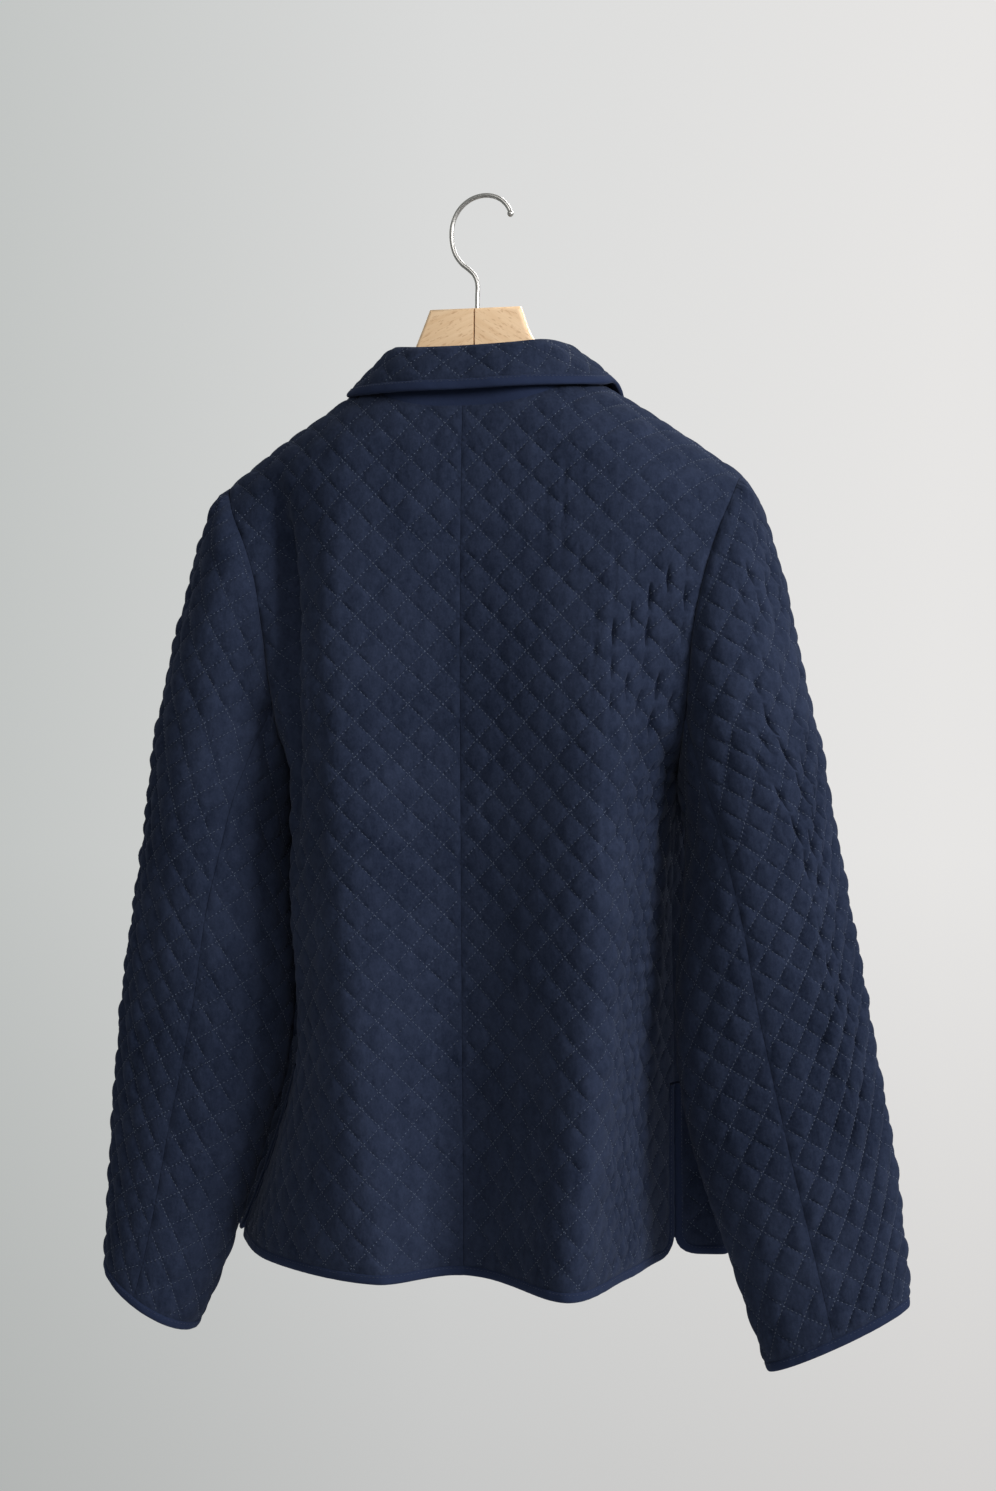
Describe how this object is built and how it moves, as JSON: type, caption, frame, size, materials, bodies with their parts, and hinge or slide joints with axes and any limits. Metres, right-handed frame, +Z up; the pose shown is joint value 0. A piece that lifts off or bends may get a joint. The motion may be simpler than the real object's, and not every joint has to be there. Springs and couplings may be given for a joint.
{
  "type": "quilted jacket on a wooden hanger",
  "caption": "Diamond-quilted jacket with bound hem and cuffs, side vents and a turned-down collar, hung on a jointed wooden hanger with a steel hook.",
  "frame": {"origin": "inside top of the hanger's hook, where it hangs on a rail", "axes": "+Z up, +Y from the garment's back towards its buttoned front, +X towards the wearer's right arm"},
  "size_m": [0.6534, 0.2395, 0.9203],
  "materials": {
    "cloth": "matte navy quilted microfibre, thinly wadded, diamond stitched",
    "binding": "plain navy woven tape, edge stitched",
    "button": "navy moulded button, satin",
    "beech": "pale beech, clear satin lacquer",
    "steel": "plated wire, slightly dulled"
  },
  "bodies": {
    "root": {"back_left": "cloth", "back_right": "cloth", "front_left": "cloth", "front_right": "cloth", "sleeve_left_upper": "cloth", "sleeve_left_under": "cloth", "sleeve_right_upper": "cloth", "sleeve_right_under": "cloth", "collar_stand": "cloth", "collar_fall": "cloth", "binding_back_hem": "binding", "binding_front_left": "binding", "binding_front_right": "binding", "binding_cuff_left": "binding", "binding_cuff_right": "binding", "binding_collar": "binding", "button_1": "button", "button_2": "button", "button_3": "button", "button_4": "button", "button_5": "button", "hanger_left": "beech", "hanger_right": "beech", "hook": "steel"}
  },
  "joints": []
}
